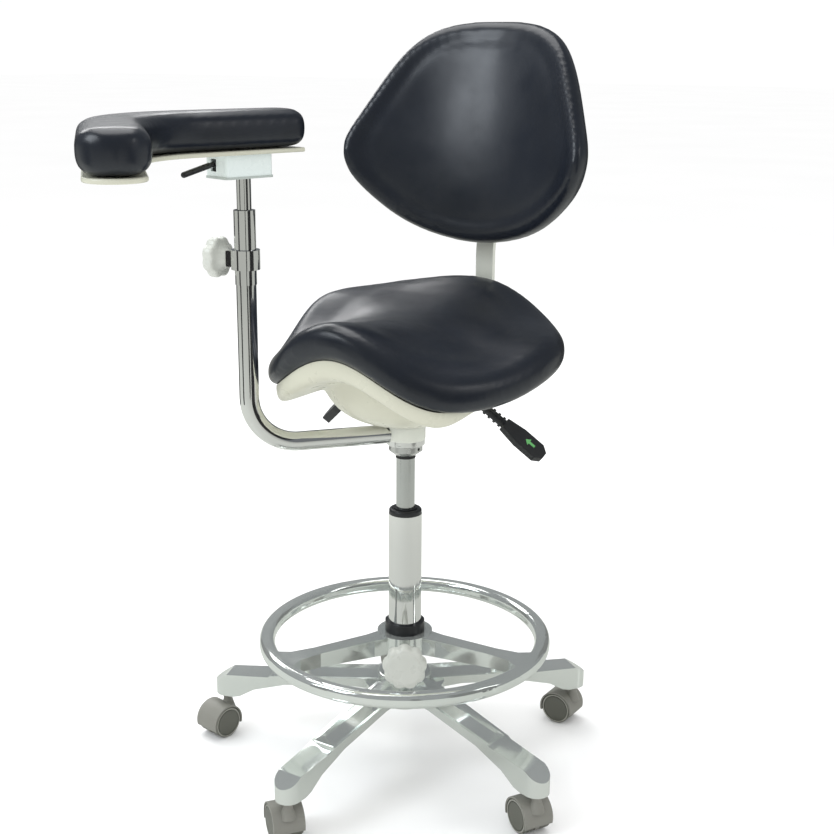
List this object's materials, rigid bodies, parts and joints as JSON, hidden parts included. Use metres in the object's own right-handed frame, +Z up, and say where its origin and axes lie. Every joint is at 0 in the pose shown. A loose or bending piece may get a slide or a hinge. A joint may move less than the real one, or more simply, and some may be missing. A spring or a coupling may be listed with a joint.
{
  "type": "dental saddle stool",
  "caption": "Saddle stool for dental work with a star base on twin-wheel casters, foot ring, gas lift, curved backrest and swinging J-shaped arm pad.",
  "frame": {"origin": "on the column axis at floor level, midway between the wheels' floor contacts", "axes": "+Z up; the sitter faces -Y, so the backrest is at +Y and the arm support at the sitter's right (-X)"},
  "size_m": [0.612, 0.8973, 1.1125],
  "materials": {
    "polished_aluminium": "polished",
    "chrome": "polished",
    "steel": "satin",
    "black_leather": "satin",
    "ivory_plastic": "glossy",
    "pale_plastic": "glossy",
    "grey_plastic": "satin",
    "olive_grey_wheel": "satin",
    "black_plastic": "satin",
    "black_rubber": "matte",
    "cream_paint": "satin",
    "inner_board": "matte"
  },
  "bodies": {
    "base": {"star_base": "polished_aluminium", "caster_stems": "steel", "column_tube": "chrome", "guide_bush": "black_plastic", "thrust_bearing": "steel"},
    "ring": {"foot_ring": "polished_aluminium", "ring_bush": "black_plastic"},
    "ring_clamp": {"ring_knob": "ivory_plastic", "ring_knob_screw": "steel"},
    "rod": {"piston_rod": "steel", "retaining_clip": "steel"},
    "seat": {"gas_cylinder": "chrome", "lock_collar": "steel", "collar_set_screws": "steel", "rod_wiper": "black_rubber", "seat_cushion": "black_leather", "seat_board": "inner_board", "seat_shell": "ivory_plastic", "seat_mechanism": "steel", "seat_bolts": "steel", "back_hinge_pin": "steel"},
    "valve_pin": {"release_pin": "steel"},
    "height_lever": {"height_lever_rod": "steel", "height_lever_handle": "black_plastic"},
    "tilt_lever": {"tilt_lever_rod": "steel", "tilt_lever_handle": "black_plastic"},
    "back": {"back_bar": "cream_paint", "backrest_cushion": "black_leather", "backrest_shell": "ivory_plastic", "backrest_screws": "steel"},
    "arm": {"arm_tube": "chrome", "arm_hub_bush": "black_plastic", "arm_hub_screw": "steel", "arm_sleeve": "chrome", "arm_clamp": "steel"},
    "arm_clamp_screw": {"arm_knob": "ivory_plastic", "arm_knob_screw": "steel"},
    "post": {"arm_post": "steel"},
    "head": {"arm_head": "pale_plastic", "arm_head_base": "grey_plastic", "arm_pad": "black_leather", "pad_plate": "ivory_plastic"},
    "head_lock": {"head_lever": "black_plastic"},
    "caster_1_fork": {"caster_1_housing": "grey_plastic"},
    "caster_1_left": {"caster_1_wheel_left": "olive_grey_wheel"},
    "caster_1_right": {"caster_1_wheel_right": "olive_grey_wheel"},
    "caster_2_fork": {"caster_2_housing": "grey_plastic"},
    "caster_2_left": {"caster_2_wheel_left": "olive_grey_wheel"},
    "caster_2_right": {"caster_2_wheel_right": "olive_grey_wheel"},
    "caster_3_fork": {"caster_3_housing": "grey_plastic"},
    "caster_3_left": {"caster_3_wheel_left": "olive_grey_wheel"},
    "caster_3_right": {"caster_3_wheel_right": "olive_grey_wheel"},
    "caster_4_fork": {"caster_4_housing": "grey_plastic"},
    "caster_4_left": {"caster_4_wheel_left": "olive_grey_wheel"},
    "caster_4_right": {"caster_4_wheel_right": "olive_grey_wheel"},
    "caster_5_fork": {"caster_5_housing": "grey_plastic"},
    "caster_5_left": {"caster_5_wheel_left": "olive_grey_wheel"},
    "caster_5_right": {"caster_5_wheel_right": "olive_grey_wheel"}
  },
  "joints": [
    {"name": "caster_1_swivel", "type": "hinge", "parent": "base", "child": "caster_1_fork", "pos_m": [0.17398, 0.23947, 0.05], "axis": [0, 0, 1], "continuous": true},
    {"name": "caster_1_left_roll", "type": "hinge", "parent": "caster_1_fork", "child": "caster_1_left", "pos_m": [0.15499, 0.2398, 0.025], "axis": [-0.0175, -0.9998, 0], "continuous": true},
    {"name": "caster_1_right_roll", "type": "hinge", "parent": "caster_1_fork", "child": "caster_1_right", "pos_m": [0.15499, 0.2398, 0.025], "axis": [-0.0175, -0.9998, 0], "continuous": true},
    {"name": "caster_2_swivel", "type": "hinge", "parent": "base", "child": "caster_2_fork", "pos_m": [-0.17398, 0.23947, 0.05], "axis": [0, 0, 1], "continuous": true},
    {"name": "caster_2_left_roll", "type": "hinge", "parent": "caster_2_fork", "child": "caster_2_left", "pos_m": [-0.18694, 0.25337, 0.025], "axis": [-0.7314, -0.682, 0], "continuous": true},
    {"name": "caster_2_right_roll", "type": "hinge", "parent": "caster_2_fork", "child": "caster_2_right", "pos_m": [-0.18694, 0.25337, 0.025], "axis": [-0.7314, -0.682, 0], "continuous": true},
    {"name": "caster_3_swivel", "type": "hinge", "parent": "base", "child": "caster_3_fork", "pos_m": [-0.28151, -0.09147, 0.05], "axis": [0, 0, 1], "continuous": true},
    {"name": "caster_3_left_roll", "type": "hinge", "parent": "caster_3_fork", "child": "caster_3_left", "pos_m": [-0.28448, -0.11023, 0.025], "axis": [0.9877, -0.1564, 0], "continuous": true},
    {"name": "caster_3_right_roll", "type": "hinge", "parent": "caster_3_fork", "child": "caster_3_right", "pos_m": [-0.28448, -0.11023, 0.025], "axis": [0.9877, -0.1564, 0], "continuous": true},
    {"name": "caster_4_swivel", "type": "hinge", "parent": "base", "child": "caster_4_fork", "pos_m": [0, -0.296, 0.05], "axis": [0, 0, 1], "continuous": true},
    {"name": "caster_4_left_roll", "type": "hinge", "parent": "caster_4_fork", "child": "caster_4_left", "pos_m": [-0.01537, -0.28483, 0.025], "axis": [-0.5878, -0.809, 0], "continuous": true},
    {"name": "caster_4_right_roll", "type": "hinge", "parent": "caster_4_fork", "child": "caster_4_right", "pos_m": [-0.01537, -0.28483, 0.025], "axis": [-0.5878, -0.809, 0], "continuous": true},
    {"name": "caster_5_swivel", "type": "hinge", "parent": "base", "child": "caster_5_fork", "pos_m": [0.28151, -0.09147, 0.05], "axis": [0, 0, 1], "continuous": true},
    {"name": "caster_5_left_roll", "type": "hinge", "parent": "caster_5_fork", "child": "caster_5_left", "pos_m": [0.26506, -0.08197, 0.025], "axis": [-0.5, -0.866, 0], "continuous": true},
    {"name": "caster_5_right_roll", "type": "hinge", "parent": "caster_5_fork", "child": "caster_5_right", "pos_m": [0.26506, -0.08197, 0.025], "axis": [-0.5, -0.866, 0], "continuous": true},
    {"name": "ring_height", "type": "slide", "parent": "base", "child": "ring", "axis": [0, 0, 1], "range_m": [-0.015, 0.15]},
    {"name": "ring_knob_turn", "type": "hinge", "parent": "ring", "child": "ring_clamp", "pos_m": [0, 0, 0.196], "axis": [0.5446, -0.8387, 0], "range_deg": [0, 360]},
    {"name": "seat_swivel", "type": "hinge", "parent": "base", "child": "rod", "pos_m": [0, 0, 0.1], "axis": [0, 0, 1], "continuous": true},
    {"name": "seat_height", "type": "slide", "parent": "rod", "child": "seat", "axis": [0, 0, 1], "range_m": [-0.07, 0.07]},
    {"name": "height_lever_lift", "type": "hinge", "parent": "seat", "child": "height_lever", "pos_m": [0.03593, 0.01237, 0.593], "axis": [0.3256, -0.9455, 0], "range_deg": [0, 4], "stiffness_Nm_per_rad": 1.5, "springref_deg": -5.73},
    {"name": "valve_pin_press", "type": "slide", "parent": "seat", "child": "valve_pin", "axis": [0, 0, -1], "range_m": [0, 0.0027]},
    {"name": "tilt_lever_lift", "type": "hinge", "parent": "seat", "child": "tilt_lever", "pos_m": [-0.03593, 0.01237, 0.593], "axis": [0.3256, 0.9455, 0], "range_deg": [0, 4], "stiffness_Nm_per_rad": 1.5, "springref_deg": -5.73},
    {"name": "back_tilt", "type": "hinge", "parent": "seat", "child": "back", "pos_m": [0, 0.092, 0.587], "axis": [-1, 0, 0], "range_deg": [-4, 14]},
    {"name": "arm_swing", "type": "hinge", "parent": "seat", "child": "arm", "pos_m": [0, 0, 0.525], "axis": [0, 0, 1], "range_deg": [-8, 80]},
    {"name": "arm_knob_turn", "type": "hinge", "parent": "arm", "child": "arm_clamp_screw", "pos_m": [-0.14848, -0.17696, 0.7905], "axis": [-0.9962, -0.0872, 0], "range_deg": [0, 360]},
    {"name": "post_height", "type": "slide", "parent": "arm", "child": "post", "axis": [0, 0, 1], "range_m": [-0.04, 0.12]},
    {"name": "head_turn", "type": "hinge", "parent": "post", "child": "head", "pos_m": [-0.14848, -0.17696, 0.92], "axis": [0, 0, 1], "range_deg": [-45, 30]},
    {"name": "head_lock_press", "type": "hinge", "parent": "head", "child": "head_lock", "pos_m": [-0.15502, -0.20315, 0.9255], "axis": [0.9703, -0.2419, 0], "range_deg": [0, 15]}
  ],
  "couplings": [
    {"joint": "valve_pin_press", "follows": "height_lever_lift", "m_per_rad": 0.038}
  ]
}
